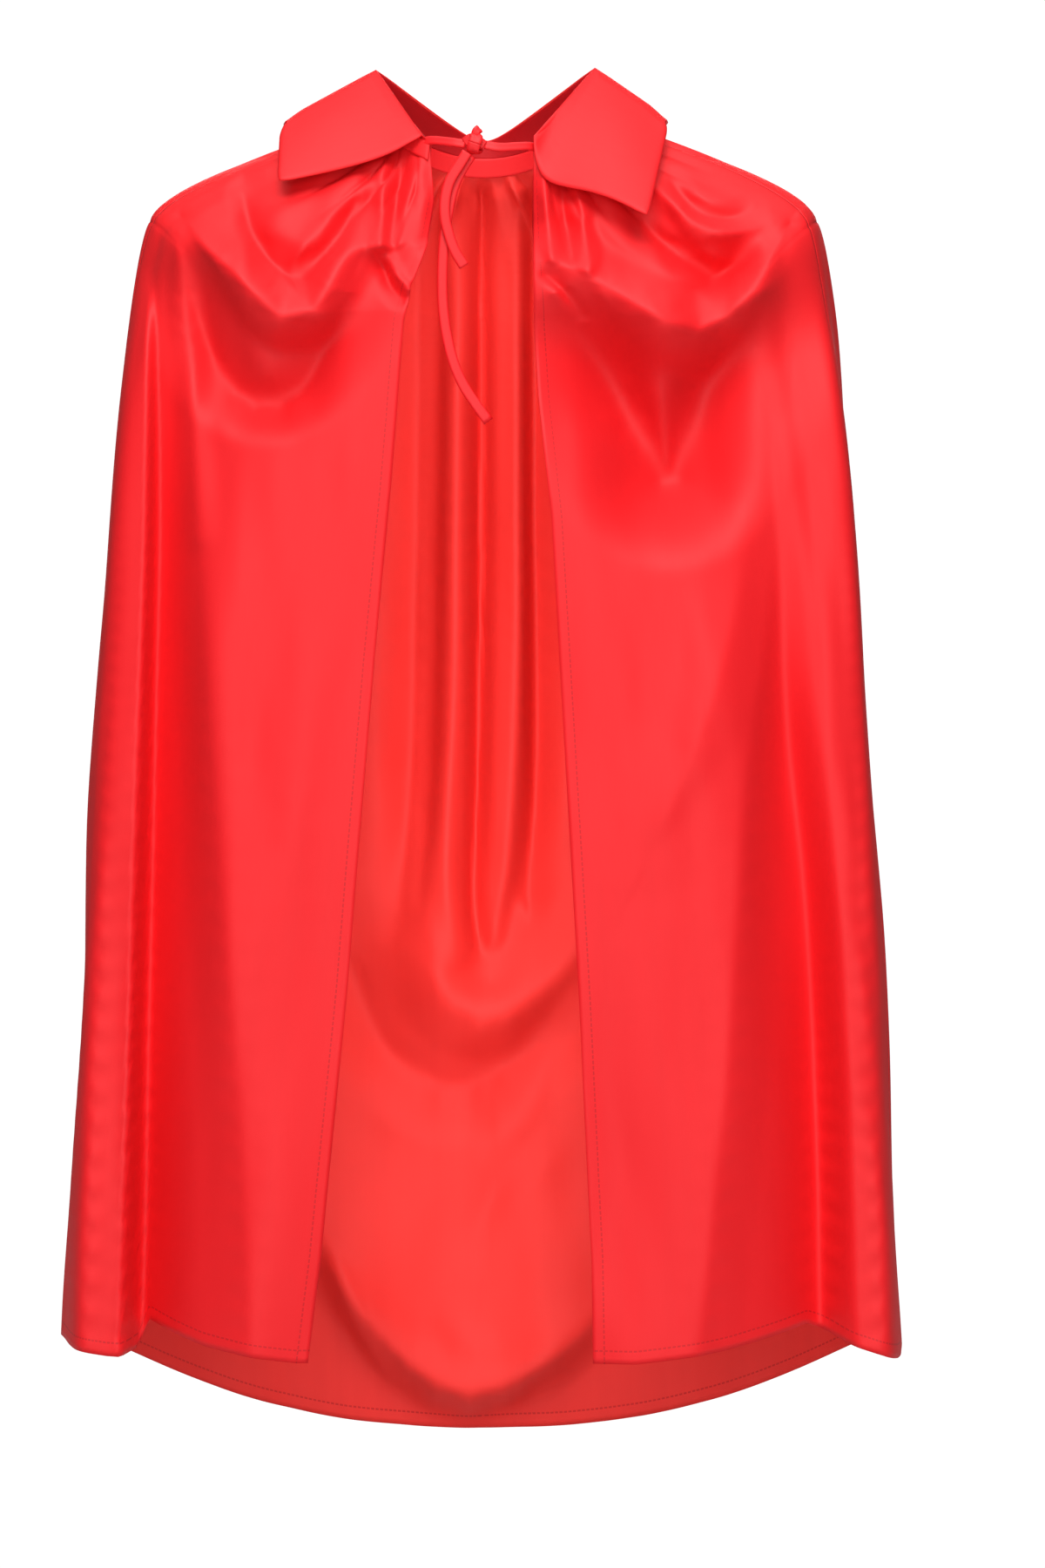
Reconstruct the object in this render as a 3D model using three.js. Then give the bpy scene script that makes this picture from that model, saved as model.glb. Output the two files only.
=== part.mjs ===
// A short costume cape: one wide cloth gathered into a neckband, open down the front, with a
// turned-down pointed collar and two ties knotted at the throat. Millimetres, +Z up, front to -Y.
// The origin is the middle of the neck opening, which is where a neck or a hanger holds the cape.
import * as THREE from 'three';
import { mergeVertices } from 'three/addons/utils/BufferGeometryUtils.js';

// ---- neck and shoulders
const neckHalfWidth = 72;
const neckHalfDepth = 70;
const neckSideRise = 32; // the neckline climbs beside the neck and dips at the throat
const neckFrontRise = -8;
const neckBackRise = 8;
const neckGapHalf = 34; // half the gap between the neckband's two front ends
const bandHeight = 13;
const bandFlare = 3;
const shoulderHalfWidth = 222;
const shoulderRun = 168; // cloth from the neckband to the point of the shoulder
const shoulderDrop = 65;
const shoulderSquareness = 0.8; // under 1 gives a straight slope with a quick turn at its end
const chestHalfDepth = 108;
const frontYokeDrop = 95;
const frontYokeHang = 0.55; // under 1 drops the front quickly below the throat
const backYokeDrop = 90;

// ---- skirt
const hemHalfWidth = 283;
const hemHalfDepth = 125;
const skirtLength = 746; // fall from the point of the shoulder to the hem at the side
const frontHemDip = 6; // how much lower the hem hangs in front and behind than at the sides
const backHemDip = 81;
const skirtFlare = 0.75;
const clothThickness = 1.2;
const clothPlanPower = 3.2; // 2 is an ellipse, more gives a flatter front and back
const sideSeamAngle = THREE.MathUtils.degToRad(58);

// ---- front opening, X of each edge, and where each front turns back
const leftEdge = { neck: -38, yoke: -48, hem: -117 };
const rightEdge = { neck: 36, yoke: 33, hem: 75 };
const turnTopWidth = 14;
const leftTurnHem = -225;
const rightTurnHem = 215;

// ---- collar
const leafPly = 0.8;
const standThickness = 2;
const standRise = 27; // from the neckline up to the roll line's peaks, beside the neck
const leftRoll = new THREE.Vector3(-neckGapHalf - 6, 6 - neckHalfDepth, 6);
const rightRoll = new THREE.Vector3(neckGapHalf, 3 - neckHalfDepth, 5);
const leftPeak = new THREE.Vector3(-neckHalfWidth, 0, neckSideRise + standRise);
const rightPeak = new THREE.Vector3(neckHalfWidth + 3, 0, neckSideRise + standRise);
const leftTip = new THREE.Vector3(-95, -10, -34).add(leftRoll);
const rightTip = new THREE.Vector3(74, -34, -59).add(rightRoll);
const leftCorner = new THREE.Vector3(-63, -28, -39).add(leftPeak);
const rightCorner = new THREE.Vector3(50, -24, -37).add(rightPeak);
const backRoll = new THREE.Vector3(0, neckHalfDepth, neckBackRise + 12);
const backLeafEdge = new THREE.Vector3(0, 44, -56).add(backRoll);
const leafRise = 1.3; // under 2 lifts the leaf's edge clear of the shoulder blades
const backRollRound = 0.15; // share of the half width over which the roll line turns at the nape
const rollToLeaf = 1.2;
const rollToStand = 5;
const footGap = 1.8; // the stand's foot sits this far above the neckband
const creaseGap = 1.2;

// ---- neckband
const bandThickness = 1;
const bandEase = 0.7; // room between each strip and the gathered cloth
const bandTop = 0.2; // both strips start a little below the cloth's raw edge
const bandCover = 0.9; // the outer one ends just above the gathers

// ---- ties
const tieWidth = 7;
const tieThickness = 2.4;
const tieSides = 8;
const knotRadius = 7;
const knotCentre = new THREE.Vector3(-5, -72, -1);
const shortTailRoute = [
  [-10, -75.5, -7], [-15, -75.5, -15], [-21.5, -75.5, -26], [-24.5, -75.5, -38],
  [-24.5, -75.5, -50], [-22, -75.5, -61], [-18, -75.5, -72], [-12, -75.5, -82],
];
const longTailRoute = [
  [-7.5, -71.8, -8.5], [-13, -71.8, -17], [-19, -71.8, -30], [-23, -71.8, -48],
  [-25.5, -71.9, -68], [-26.5, -72.1, -88], [-26, -72.4, -108], [-23.5, -72.8, -127],
  [-19, -73.2, -145], [-12.5, -73.6, -160], [-4, -74, -173], [4, -74, -184],
];

// ---- fits
const seamGap = 0.4;
const stackGap = 0.3;

const red = { cloth: 0xe8202a, facing: 0xd21c26, stiffener: 0xf0ece6, tie: 0xea242e };
const { lerp } = THREE.MathUtils;
const bandEnd = Math.PI - Math.asin(neckGapHalf / neckHalfWidth);
const yokeEnd = bandHeight + shoulderRun;
const clothEnd = yokeEnd + skirtLength;
const sideHem = neckSideRise - bandHeight - shoulderDrop - skirtLength;
const yokeRows = 8;
const skirtRows = 10;
const yokeRow = 1 + yokeRows;
const allRows = yokeRow + skirtRows;

// Half width, half depth and the heights at the side, front and back, this far down the cloth.
function levelAt(down) {
  const band = Math.min(down / bandHeight, 1);
  const yoke = THREE.MathUtils.clamp((down - bandHeight) / shoulderRun, 0, 1);
  const skirt = THREE.MathUtils.clamp((down - yokeEnd) / skirtLength, 0, 1);
  const turn = yoke * Math.PI / 2;
  const reach = Math.sin(turn);
  const slope = Math.pow(1 - Math.cos(turn), shoulderSquareness);
  const neckWide = neckHalfWidth + bandFlare * band;
  const neckDeep = neckHalfDepth + bandFlare * band;
  const sideTop = neckSideRise - bandHeight * band - shoulderDrop * slope;
  const frontTop = neckFrontRise - bandHeight * band - frontYokeDrop * Math.pow(yoke, frontYokeHang);
  const backTop = neckBackRise - bandHeight * band - backYokeDrop * yoke;
  return {
    halfWidth: neckWide + (shoulderHalfWidth - neckWide) * reach
      + (hemHalfWidth - shoulderHalfWidth) * Math.pow(skirt, skirtFlare),
    halfDepth: neckDeep + (chestHalfDepth - neckDeep) * reach + (hemHalfDepth - chestHalfDepth) * skirt,
    side: lerp(sideTop, sideHem, skirt),
    front: lerp(frontTop, sideHem - frontHemDip, skirt),
    back: lerp(backTop, sideHem - backHemDip, skirt),
    power: lerp(2, clothPlanPower, Math.min(yoke + skirt, 1)),
  };
}

// A point of the drape: angle 0 is the middle of the back, a quarter turn each way is a side.
function drapePoint(level, angle, target = new THREE.Vector3()) {
  const across = Math.sin(angle);
  const along = Math.cos(angle);
  const squash = 2 / level.power;
  const end = along > 0 ? level.back : level.front;
  return target.set(
    level.halfWidth * Math.sign(across) * Math.pow(Math.abs(across), squash),
    level.halfDepth * Math.sign(along) * Math.pow(Math.abs(along), squash),
    lerp(end, level.side, across * across),
  );
}

// The angle at which the front of the drape stands this far to the left or right.
function frontAngle(level, x) {
  const share = Math.pow(Math.abs(x) / level.halfWidth, level.power / 2);
  return Math.sign(x) * (Math.PI - Math.asin(Math.min(share, 1)));
}

class DrapeRow extends THREE.Curve {
  constructor(level, from, to) {
    super();
    this.arcLengthDivisions = 80;
    Object.assign(this, { level, from, to });
  }

  getPoint(share, target) {
    return drapePoint(this.level, lerp(this.from, this.to, share), target);
  }
}

// Cuts the far face's squares along the same diagonal as the near face's, so that plies nest.
function alignDiagonals(geometry) {
  const { start, count } = geometry.groups[geometry.groups.length - 1];
  const corners = geometry.index.array;
  for (let i = start; i < start + count; i += 6) {
    corners[i + 2] = corners[i + 4];
    corners[i + 3] = corners[i];
  }
}

// A flat blank bent so that its middle face lies on the patch, from one offset to another along
// the patch's normal. The patch is a function of two shares from 0 to 1.
function ply(patch, columns, rows, lowOffset, highOffset) {
  const blank = new THREE.BoxGeometry(1, 1, 1, columns, rows, 1);
  blank.deleteAttribute('normal');
  blank.deleteAttribute('uv');
  const geometry = mergeVertices(blank, 1e-5);
  alignDiagonals(geometry);
  const place = geometry.getAttribute('position');
  const step = 1e-3;
  for (let i = 0; i < place.count; i += 1) {
    const u = place.getX(i) + 0.5;
    const v = place.getY(i) + 0.5;
    const uLow = Math.max(u - step, 0);
    const uHigh = Math.min(u + step, 1);
    const vLow = Math.max(v - step, 0);
    const vHigh = Math.min(v + step, 1);
    const acrossU = patch(uHigh, v).sub(patch(uLow, v));
    const acrossV = patch(u, vHigh).sub(patch(u, vLow));
    const normal = acrossU.cross(acrossV).normalize();
    const offset = lerp(lowOffset, highOffset, place.getZ(i) + 0.5);
    const point = patch(u, v).addScaledVector(normal, offset);
    place.setXYZ(i, point.x, point.y, point.z);
  }
  return geometry;
}

// Part of the cloth between two angles, each a function of the level, and two rows of the cloth.
// Every part has its vertices on the same rows, so that neighbours run alongside each other.
function clothPatch(fromAngle, toAngle, topRow, bottomRow) {
  const top = rowDown(topRow) + (topRow === 0 ? 0 : seamGap / 2);
  const bottom = rowDown(bottomRow) - (bottomRow === allRows ? 0 : seamGap / 2);
  return (u, v) => {
    const down = THREE.MathUtils.clamp(rowDown(lerp(topRow, bottomRow, v)), top, bottom);
    const level = levelAt(down);
    const row = new DrapeRow(level, fromAngle(level, down), toAngle(level, down));
    const trim = seamGap / 2 / row.getLength();
    return row.getPointAt(lerp(trim, 1 - trim, u));
  };
}

function rowDown(row) {
  const shares = [0, 1, yokeRow, allRows];
  const ends = [0, bandHeight, yokeEnd, clothEnd];
  const zone = shares.findIndex((share, i) => i > 0 && row <= share + 1e-9);
  return lerp(ends[zone - 1], ends[zone], (row - shares[zone - 1]) / (shares[zone] - shares[zone - 1]));
}

function edgeX(edge, down) {
  const yoke = Math.min(down / yokeEnd, 1);
  const skirt = Math.max((down - yokeEnd) / skirtLength, 0);
  return lerp(edge.neck, edge.yoke, yoke) + (edge.hem - edge.yoke) * skirt;
}

function turnX(edge, turnHem, down) {
  const skirt = Math.max((down - yokeEnd) / skirtLength, 0);
  const top = edge.yoke + Math.sign(edge.yoke) * turnTopWidth;
  return lerp(top, turnHem, skirt);
}

const part = new THREE.Group();

function add(name, geometry, color, roughness = 0.45) {
  const material = new THREE.MeshStandardMaterial({ color, roughness, metalness: 0 });
  const mesh = new THREE.Mesh(geometry, material);
  mesh.name = name;
  part.add(mesh);
}

function addCloth(name, patch, columns, rows) {
  const half = clothThickness / 2;
  add(name, ply(patch, columns, rows, -half, half), red.cloth);
}

// ---- cloth: the back, and on each side a shoulder, a side and a front that turns back
const backLeft = () => -sideSeamAngle;
const backRight = () => sideSeamAngle;
const leftEdgeAngle = (level, down) => frontAngle(level, edgeX(leftEdge, down));
const rightEdgeAngle = (level, down) => frontAngle(level, edgeX(rightEdge, down));
const leftTurnAngle = (level, down) => frontAngle(level, turnX(leftEdge, leftTurnHem, down));
const rightTurnAngle = (level, down) => frontAngle(level, turnX(rightEdge, rightTurnHem, down));

addCloth('back_panel', clothPatch(backLeft, backRight, 0, allRows), 16, allRows);
addCloth('left_shoulder', clothPatch(leftEdgeAngle, backLeft, 0, yokeRow), 14, yokeRow);
addCloth('right_shoulder', clothPatch(backRight, rightEdgeAngle, 0, yokeRow), 14, yokeRow);
addCloth('left_side', clothPatch(leftTurnAngle, backLeft, yokeRow, allRows), 12, skirtRows);
addCloth('right_side', clothPatch(backRight, rightTurnAngle, yokeRow, allRows), 12, skirtRows);
addCloth('left_front', clothPatch(leftEdgeAngle, leftTurnAngle, yokeRow, allRows), 4, skirtRows);
addCloth('right_front', clothPatch(rightTurnAngle, rightEdgeAngle, yokeRow, allRows), 4, skirtRows);

// ---- neckband: two strips that hold the gathered edge between them
function bandPatch(top, bottom) {
  return (u, v) => drapePoint(levelAt(bandHeight * lerp(top, bottom, v)), lerp(-bandEnd, bandEnd, u));
}

const bandNear = clothThickness / 2 + bandEase;
const bandFar = bandNear + bandThickness;
const bandColumns = 41;
add('neckband_facing', ply(bandPatch(bandTop, 1), bandColumns, 1, -bandFar, -bandNear), red.facing);
add('neckband', ply(bandPatch(bandTop, bandCover), bandColumns, 1, bandNear, bandFar), red.cloth);

// ---- collar: a stand up to the roll line, and a leaf of three plies turned down outside it
function softShare(share) {
  const root = Math.hypot(share, backRollRound) - backRollRound;
  return root / (Math.hypot(1, backRollRound) - backRollRound);
}

function rollPoint(angle) {
  const left = angle < 0;
  const peak = left ? leftPeak : rightPeak;
  const quarter = Math.PI / 2;
  const turn = Math.abs(angle);
  if (turn > quarter) {
    const front = left ? leftRoll : rightRoll;
    return peak.clone().lerp(front, (turn - quarter) / (bandEnd - quarter));
  }
  const share = turn / quarter;
  const point = backRoll.clone().lerp(peak, softShare(share));
  point.x = peak.x * share;
  return point;
}

function standPatch(u, v) {
  const angle = lerp(-bandEnd, bandEnd, u);
  const foot = drapePoint(levelAt(0), angle);
  const top = rollPoint(angle);
  const height = foot.distanceTo(top);
  return foot.lerp(top, lerp(1 - rollToStand / height, footGap / height, v));
}

add('collar_stand', ply(standPatch, bandColumns, 2, -standThickness / 2, standThickness / 2), red.cloth);

// A flat leaf between a stretch of the roll line and a stretch of the leaf's own outer edge.
function wingPatch(rollFrom, rollTo, outerFrom, outerTo, creaseAtStart) {
  const length = rollFrom.distanceTo(rollTo);
  const fromShare = creaseAtStart ? creaseGap / length : 0;
  const toShare = creaseAtStart ? 1 : 1 - creaseGap / length;
  return (u, v) => {
    const share = lerp(fromShare, toShare, u);
    const roll = rollFrom.clone().lerp(rollTo, share);
    const outer = outerFrom.clone().lerp(outerTo, share);
    return roll.lerp(outer, lerp(rollToLeaf / roll.distanceTo(outer), 1, v));
  };
}

function backLeafPatch(u, v) {
  const inset = creaseGap / leftPeak.distanceTo(backRoll);
  const share = lerp(-1 + inset, 1 - inset, u);
  const angle = share * Math.PI / 2;
  const corner = share < 0 ? leftCorner : rightCorner;
  const across = Math.sin(angle);
  const along = Math.cos(angle);
  const outer = new THREE.Vector3(
    Math.abs(corner.x) * across,
    lerp(corner.y, backLeafEdge.y, along),
    lerp(backLeafEdge.z, corner.z, Math.pow(Math.abs(across), leafRise)),
  );
  const roll = rollPoint(angle);
  return roll.lerp(outer, lerp(rollToLeaf / roll.distanceTo(outer), 1, v));
}

function addLeaf(side, patch, columns, rows) {
  const layers = [
    ['under_collar', red.facing, 0.45],
    ['collar_interfacing', red.stiffener, 0.9],
    ['upper_collar', red.cloth, 0.45],
  ];
  layers.forEach(([layer, color, roughness], i) => {
    const low = stackGap + i * (leafPly + stackGap);
    add(`${side}_${layer}`, ply(patch, columns, rows, low, low + leafPly), color, roughness);
  });
}

addLeaf('left', wingPatch(leftRoll, leftPeak, leftTip, leftCorner, false), 5, 5);
addLeaf('back', backLeafPatch, 22, 8);
addLeaf('right', wingPatch(rightPeak, rightRoll, rightCorner, rightTip, true), 5, 5);

// ---- ties: a strap from each end of the neckband to the knot, and two tails that hang free
function strapSection(acrossX, acrossY) {
  const points = [];
  for (let i = 0; i < tieSides; i += 1) {
    const angle = (i + 0.5) / tieSides * Math.PI * 2;
    points.push(new THREE.Vector2(acrossX / 2 * Math.cos(angle), acrossY / 2 * Math.sin(angle)));
  }
  return new THREE.Shape(points);
}

function strap(route, section, steps) {
  const path = new THREE.CatmullRomCurve3(route.map((point) => new THREE.Vector3(...point)));
  const geometry = new THREE.ExtrudeGeometry(section, { steps, extrudePath: path, bevelEnabled: false });
  geometry.deleteAttribute('normal');
  geometry.deleteAttribute('uv');
  return mergeVertices(geometry, 1e-4);
}

function strapToKnot(side) {
  const end = drapePoint(levelAt(bandHeight / 2), side * bandEnd);
  const knotEdge = knotCentre.clone();
  knotEdge.x += side * (knotRadius + stackGap + 0.4);
  const start = end.clone();
  start.x -= side * (seamGap + tieThickness);
  start.y -= tieThickness;
  start.z -= 1;
  const middle = start.clone().lerp(knotEdge, 0.5);
  middle.z -= 1.5;
  return [start, middle, knotEdge].map((point) => point.toArray());
}

const uprightSection = strapSection(tieWidth * 0.8, tieThickness);
const hangingSection = strapSection(tieThickness, tieWidth);
add('left_tie', strap(strapToKnot(-1), uprightSection, 4), red.tie);
add('right_tie', strap(strapToKnot(1), uprightSection, 4), red.tie);
add('short_tie_tail', strap(shortTailRoute, hangingSection, 9), red.tie);
add('long_tie_tail', strap(longTailRoute, hangingSection, 16), red.tie);

const knot = mergeVertices(new THREE.SphereGeometry(knotRadius, 16, 10).deleteAttribute('normal')
  .deleteAttribute('uv'), 1e-4);
knot.translate(...knotCentre.toArray());
add('tie_knot', knot, red.tie);

export default part;
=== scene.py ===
import math
from functools import partial

import bpy
import numpy as np
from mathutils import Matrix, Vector


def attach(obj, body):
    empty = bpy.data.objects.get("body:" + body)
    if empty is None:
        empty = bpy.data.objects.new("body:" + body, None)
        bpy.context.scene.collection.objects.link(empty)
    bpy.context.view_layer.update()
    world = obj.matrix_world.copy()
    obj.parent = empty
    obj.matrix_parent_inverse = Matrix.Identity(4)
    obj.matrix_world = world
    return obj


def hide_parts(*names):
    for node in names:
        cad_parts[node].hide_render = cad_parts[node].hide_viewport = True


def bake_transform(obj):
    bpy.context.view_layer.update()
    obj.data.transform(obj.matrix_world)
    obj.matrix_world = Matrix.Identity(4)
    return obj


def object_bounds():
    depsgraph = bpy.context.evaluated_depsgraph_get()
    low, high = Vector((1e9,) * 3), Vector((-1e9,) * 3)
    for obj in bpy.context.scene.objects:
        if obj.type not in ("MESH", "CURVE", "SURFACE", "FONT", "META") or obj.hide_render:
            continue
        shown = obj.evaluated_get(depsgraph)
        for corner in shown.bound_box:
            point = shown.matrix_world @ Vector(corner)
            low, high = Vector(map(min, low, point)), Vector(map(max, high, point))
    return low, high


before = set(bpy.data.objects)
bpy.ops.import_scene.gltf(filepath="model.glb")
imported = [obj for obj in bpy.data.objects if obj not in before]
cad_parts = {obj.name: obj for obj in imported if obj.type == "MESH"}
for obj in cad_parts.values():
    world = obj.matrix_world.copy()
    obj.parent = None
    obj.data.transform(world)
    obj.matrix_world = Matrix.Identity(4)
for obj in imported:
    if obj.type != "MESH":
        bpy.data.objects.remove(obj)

scene = bpy.context.scene
cadLow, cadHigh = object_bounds()

# the camera looks level at the front, from far enough back to keep the sides nearly parallel
viewing = dict(distance=3.2, side=0.0264, height=-0.4226, frameHeight=1.0566, sensor=24.0)


def placeCamera():
    data = bpy.data.cameras.new("frontCamera")
    camera = bpy.data.objects.new("frontCamera", data)
    scene.collection.objects.link(camera)
    data.sensor_fit = "VERTICAL"
    data.sensor_height = viewing["sensor"]
    data.lens = viewing["sensor"] * viewing["distance"] / viewing["frameHeight"]
    camera.location = (viewing["side"], -viewing["distance"], viewing["height"])
    camera.rotation_euler = (math.pi / 2, 0, 0)
    scene.camera = camera


placeCamera()
print("camera placed")


def makeMesh(name, points, faces, uvs=None, smooth=True):
    mesh = bpy.data.meshes.new(name)
    mesh.from_pydata([tuple(map(float, p)) for p in points], [], [tuple(map(int, f)) for f in faces])
    if uvs is not None:
        layer = mesh.uv_layers.new(name="cut")
        loopVerts = np.zeros(len(mesh.loops), dtype=np.int32)
        mesh.loops.foreach_get("vertex_index", loopVerts)
        layer.data.foreach_set("uv", np.asarray(uvs, dtype=np.float32)[loopVerts].ravel())
    mesh.polygons.foreach_set("use_smooth", [smooth] * len(mesh.polygons))
    mesh.update()
    obj = bpy.data.objects.new(name, mesh)
    scene.collection.objects.link(obj)
    return obj


def gridFaces(rows, columns, wrap=False):
    r = np.arange(rows - 1)[:, None]
    c = np.arange(columns if wrap else columns - 1)[None, :]
    n = (c + 1) % columns
    quads = np.stack([r * columns + c, r * columns + n, (r + 1) * columns + n, (r + 1) * columns + c], -1)
    return quads.reshape(-1, 4)


def applyModifiers(obj):
    depsgraph = bpy.context.evaluated_depsgraph_get()
    mesh = bpy.data.meshes.new_from_object(obj.evaluated_get(depsgraph), preserve_all_data_layers=True,
                                           depsgraph=depsgraph)
    old = obj.data
    obj.modifiers.clear()
    obj.data = mesh
    bpy.data.meshes.remove(old)


# a curve through given points, as count points an equal run apart; columns after x, y and z ride along
def smoothPath(points, count, spanSteps=12):
    p = np.asarray(points, float)
    ext = np.vstack([2 * p[0] - p[1], p, 2 * p[-1] - p[-2]])
    out = []
    for i in range(len(p) - 1):
        a, b, c, d = ext[i:i + 4]
        for t in np.linspace(0, 1, spanSteps, endpoint=False):
            out.append(0.5 * (2 * b + (c - a) * t + (2 * a - 5 * b + 4 * c - d) * t * t
                              + (3 * b - a - 3 * c + d) * t ** 3))
    out.append(p[-1])
    out = np.array(out)
    run = np.concatenate([[0], np.cumsum(np.linalg.norm(np.diff(out[:, :3], axis=0), axis=1))])
    at = np.linspace(0, run[-1], count)
    return np.stack([np.interp(at, run, out[:, k]) for k in range(out.shape[1])], 1)


# sizes of the drape the cloth hangs on; the two edges are (height, x) down each front
cape = dict(
    neckHalfWidth=0.072, neckHalfDepth=0.070, neckSideRise=0.032, neckFrontRise=-0.008, neckBackRise=0.008,
    bandHeight=0.013, bandFlare=0.003, shoulderHalfWidth=0.222, shoulderRun=0.168, shoulderDrop=0.065,
    squareness=0.8, straightness=0.36, chestHalfDepth=0.108, frontYokeDrop=0.095, frontYokeHang=0.55,
    backYokeDrop=0.090, hemHalfWidth=0.281, hemHalfDepth=0.125, skirtLength=0.746, frontHemDip=0.006,
    backHemDip=0.081, flare=0.62, planPower=3.0, hemRound=0.4,
    leftEdge=[(0, -0.036), (-0.045, -0.032), (-0.071, -0.036), (-0.098, -0.046), (-0.122, -0.051),
              (-0.184, -0.0555), (-0.228, -0.059), (-0.343, -0.070), (-0.553, -0.087), (-0.730, -0.104),
              (-0.800, -0.113)],
    rightEdge=[(0, 0.034), (-0.060, 0.033), (-0.122, 0.034), (-0.171, 0.037), (-0.249, 0.045),
               (-0.423, 0.055), (-0.565, 0.063), (-0.730, 0.071), (-0.800, 0.072)],
    columns=460, rows=320, denseRows=150, denseTo=0.24, rowSteps=900, thickness=0.0007,
    flatWidth=1.50, flatLength=0.93,
)
yokeEnd = cape["bandHeight"] + cape["shoulderRun"]
clothEnd = yokeEnd + cape["skirtLength"]


# one entry for each finish; deep is the shade of the darker streaks
finishes = {
    "satin": dict(color=(0.86, 0.0080, 0.013, 1), deep=(0.77, 0.0052, 0.009, 1), rough=0.62, shine=0.40,
                  weave=0.25, streak=0.5, glow=0.06, thread=(0.62, 0.0050, 0.009, 1)),
    "wrongSide": dict(color=(0.88, 0.038, 0.031, 1), deep=(0.78, 0.028, 0.024, 1), rough=0.60, shine=0.26,
                      weave=0.35, streak=0.7, glow=0.10, thread=(0.62, 0.020, 0.018, 1)),
    # the stand's facing is a deeper red as painted shade: it stands in for the shade inside the neck opening,
    # which the lamps would otherwise light
    "standFacingPaintedShade": dict(color=(0.50, 0.0045, 0.009, 1), deep=(0.40, 0.0030, 0.006, 1), rough=0.56,
                        shine=0.20, weave=0.3, streak=0.5, glow=0.04),
    "tie": dict(color=(0.84, 0.0085, 0.014, 1), deep=(0.72, 0.0052, 0.009, 1), rough=0.50, shine=0.36,
                weave=0.3, streak=0.3, glow=0.05),
}


weaving = dict(clouds=9, streaks=60, slubs=900, streakStretch=0.02, slubStretch=0.05, warp=420, weft=260,
               deepShare=0.25, roughWander=0.10, reliefStrength=0.3, reliefDepth=0.0003)


def mathNode(tree, kind, a, b=None):
    node = tree.nodes.new("ShaderNodeMath")
    node.operation = kind
    for socket, value in zip(node.inputs, (a, b)):
        if isinstance(value, (int, float)):
            socket.default_value = value
        elif value is not None:
            tree.links.new(value, socket)
    return node.outputs[0]


def mixColors(tree, share, first, second):
    node = tree.nodes.new("ShaderNodeMix")
    node.data_type = "RGBA"
    tree.links.new(share, node.inputs[0])
    tree.links.new(first, node.inputs[6])
    tree.links.new(second, node.inputs[7])
    return node.outputs[2]


def clothPlace(tree):
    place = tree.nodes.new("ShaderNodeUVMap")
    place.uv_map = "cut"
    return place.outputs[0]


# satin weave: cloudy and streaky colour, slubs, and the warp and weft as fine relief
def weaveGroup():
    group = bpy.data.node_groups.new("satinWeave", "ShaderNodeTree")
    face = group.interface
    face.new_socket("Color", in_out="INPUT", socket_type="NodeSocketColor")
    face.new_socket("Deep", in_out="INPUT", socket_type="NodeSocketColor")
    face.new_socket("Roughness", in_out="INPUT", socket_type="NodeSocketFloat")
    face.new_socket("Streak", in_out="INPUT", socket_type="NodeSocketFloat")
    face.new_socket("Weave", in_out="INPUT", socket_type="NodeSocketFloat")
    face.new_socket("Color", in_out="OUTPUT", socket_type="NodeSocketColor")
    face.new_socket("Roughness", in_out="OUTPUT", socket_type="NodeSocketFloat")
    face.new_socket("Height", in_out="OUTPUT", socket_type="NodeSocketFloat")
    nodes, links = group.nodes, group.links
    source = nodes.new("NodeGroupInput")
    sink = nodes.new("NodeGroupOutput")
    place = clothPlace(group)
    work = partial(mathNode, group)

    def noise(scale, detail, stretch):
        mapping = nodes.new("ShaderNodeMapping")
        mapping.inputs["Scale"].default_value = (1, stretch, 1)
        links.new(place, mapping.inputs[0])
        node = nodes.new("ShaderNodeTexNoise")
        node.inputs["Scale"].default_value = scale
        node.inputs["Detail"].default_value = detail
        links.new(mapping.outputs[0], node.inputs["Vector"])
        return node.outputs[0]

    def threads(direction, scale):
        node = nodes.new("ShaderNodeTexWave")
        node.bands_direction = direction
        node.inputs["Scale"].default_value = scale
        links.new(place, node.inputs["Vector"])
        return node.outputs["Fac"]

    clouds = noise(weaving["clouds"], 3, 1)
    streaks = noise(weaving["streaks"], 4, weaving["streakStretch"])
    slubs = noise(weaving["slubs"], 2, weaving["slubStretch"])
    uneven = work("ADD", work("SUBTRACT", clouds, 0.5), work("SUBTRACT", streaks, 0.5))
    mottling = work("MULTIPLY", uneven, source.outputs["Streak"])
    color = mixColors(group, work("ADD", mottling, weaving["deepShare"]), source.outputs["Color"],
                      source.outputs["Deep"])
    links.new(color, sink.inputs["Color"])
    wander = work("MULTIPLY", work("SUBTRACT", slubs, 0.5), weaving["roughWander"])
    links.new(work("ADD", source.outputs["Roughness"], wander), sink.inputs["Roughness"])
    crossed = work("MULTIPLY", threads("X", weaving["warp"]), threads("Y", weaving["weft"]))
    links.new(work("MULTIPLY", work("ADD", crossed, slubs), source.outputs["Weave"]), sink.inputs["Height"])
    return group


weave = weaveGroup()
stitching = dict(inset=0.009, width=0.0006, length=0.0026, gap=0.0012, sink=1.4)


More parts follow.
